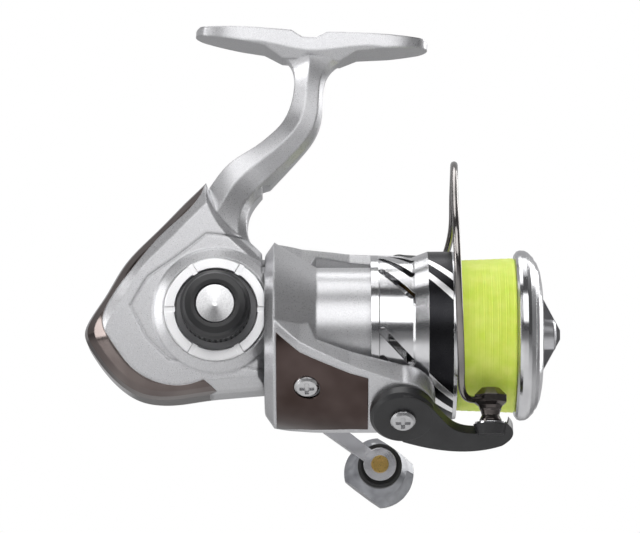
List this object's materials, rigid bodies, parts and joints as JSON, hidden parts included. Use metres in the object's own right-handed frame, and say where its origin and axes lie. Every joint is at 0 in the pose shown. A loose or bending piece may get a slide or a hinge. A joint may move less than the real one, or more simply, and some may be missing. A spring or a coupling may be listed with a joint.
{
  "type": "spinning fishing reel",
  "caption": "Spinning reel with foot, rotor, flip-over bail, front-drag spool of line and folding crank handle.",
  "frame": {"origin": "middle of the flat land on the front half of the foot's seat face", "axes": "+Z out of the foot's seat towards the rod, +X forward along the foot towards the spool's end, +Y towards the handle"},
  "size_m": [0.1262, 0.1224, 0.1188],
  "materials": {
    "casting": "fine metallic silver paint",
    "guard": "dark polished mirror",
    "steel": "ground",
    "bright": "machined bright",
    "polished": "polished",
    "dark_metal": "dark polished",
    "black": "satin black",
    "brass": "turned",
    "line": "braided line",
    "felt": "felt",
    "grip": "smoky translucent",
    "anodised": "black anodised",
    "recess": "grey"
  },
  "bodies": {
    "frame": {"housing": "casting", "rear_guard": "guard", "guide_rod_upper": "steel", "guide_rod_lower": "steel", "bezel_ring": "bright", "engine_plate": "recess", "gear_bearing_near": "steel", "gear_bearing_far": "steel", "pinion_bearing": "steel", "pinion_bush": "brass", "clutch_ring": "steel", "clutch_rollers": "steel", "clutch_screws": "steel"},
    "crank": {"drive_gear": "bright", "handle_shank": "polished", "fold_pin": "steel"},
    "handle": {"handle_arm": "polished", "knob_axle": "brass"},
    "knob": {"knob_collar": "black", "knob_grip": "grip", "knob_cap": "polished"},
    "side_cap": {"screw_cap": "black", "cap_disc": "bright"},
    "oscillator": {"osc_gear": "bright"},
    "shaft": {"slider": "bright", "main_shaft": "steel", "spool_support": "black", "click_wheel": "black", "drag_metal": "steel"},
    "spool": {"spool_shell": "polished", "spool_skirt": "polished", "spool_bush": "brass", "spool_lip": "polished", "skirt_band": "anodised", "band_stripes": "bright", "line_fill": "line", "drag_felt": "felt", "drag_ring": "steel"},
    "drag": {"drag_knob": "bright", "drag_nut": "brass"},
    "rotor": {"rotor": "casting", "arm_cover": "guard", "pinion": "brass", "clutch_sleeve": "steel", "rotor_nut": "brass", "cover_screw": "steel", "bail_screw_near": "steel", "bail_screw_far": "steel", "bail_spring": "steel", "spring_pin": "steel"},
    "bail": {"bail_arm": "black", "roller_washer": "polished", "roller_axle": "steel", "bail_cone": "dark_metal", "bail_wire": "dark_metal", "bail_holder": "black"},
    "roller": {"line_roller": "dark_metal"}
  },
  "joints": [
    {"name": "handle_turn", "type": "hinge", "parent": "frame", "child": "crank", "pos_m": [-0.0352, 0, -0.07858], "axis": [0, 1, 0], "continuous": true},
    {"name": "handle_fold", "type": "hinge", "parent": "crank", "child": "handle", "pos_m": [-0.0352, 0.05, -0.07858], "axis": [0.5519, 0, 0.8339], "range_deg": [-22, 0]},
    {"name": "knob_spin", "type": "hinge", "parent": "handle", "child": "knob", "pos_m": [0.01067, 0.053, -0.10893], "axis": [0, 1, 0], "continuous": true},
    {"name": "side_cap_turn", "type": "hinge", "parent": "crank", "child": "side_cap", "pos_m": [-0.0352, 0, -0.07858], "axis": [0, 1, 0], "continuous": true},
    {"name": "rotor_spin", "type": "hinge", "parent": "frame", "child": "rotor", "pos_m": [-0.01467, 0, -0.08204], "axis": [0.9984, 0, 0.0558], "continuous": true},
    {"name": "oscillator_spin", "type": "hinge", "parent": "frame", "child": "oscillator", "pos_m": [-0.04838, 0.005, -0.07931], "axis": [0, 1, 0], "continuous": true},
    {"name": "spool_stroke", "type": "slide", "parent": "frame", "child": "shaft", "axis": [0.9984, 0, 0.0558], "range_m": [-0.014, 0]},
    {"name": "spool_slip", "type": "hinge", "parent": "shaft", "child": "spool", "pos_m": [0.02527, 0, -0.07981], "axis": [0.9984, 0, 0.0558], "continuous": true},
    {"name": "drag_turn", "type": "hinge", "parent": "shaft", "child": "drag", "pos_m": [0.04524, 0, -0.07869], "axis": [0.9984, 0, 0.0558], "continuous": true},
    {"name": "bail_flip", "type": "hinge", "parent": "rotor", "child": "bail", "pos_m": [0.01388, 0, -0.08044], "axis": [-0.0428, 0.6428, 0.7648], "range_deg": [0, 115]},
    {"name": "line_roller_spin", "type": "hinge", "parent": "bail", "child": "roller", "pos_m": [0.03809, -0.018, -0.10313], "axis": [-0.0558, -0.0002, 0.9984], "continuous": true}
  ],
  "couplings": [
    {"joint": "rotor_spin", "follows": "handle_turn", "ratio": 4.7778},
    {"joint": "oscillator_spin", "follows": "handle_turn", "ratio": -0.5}
  ]
}
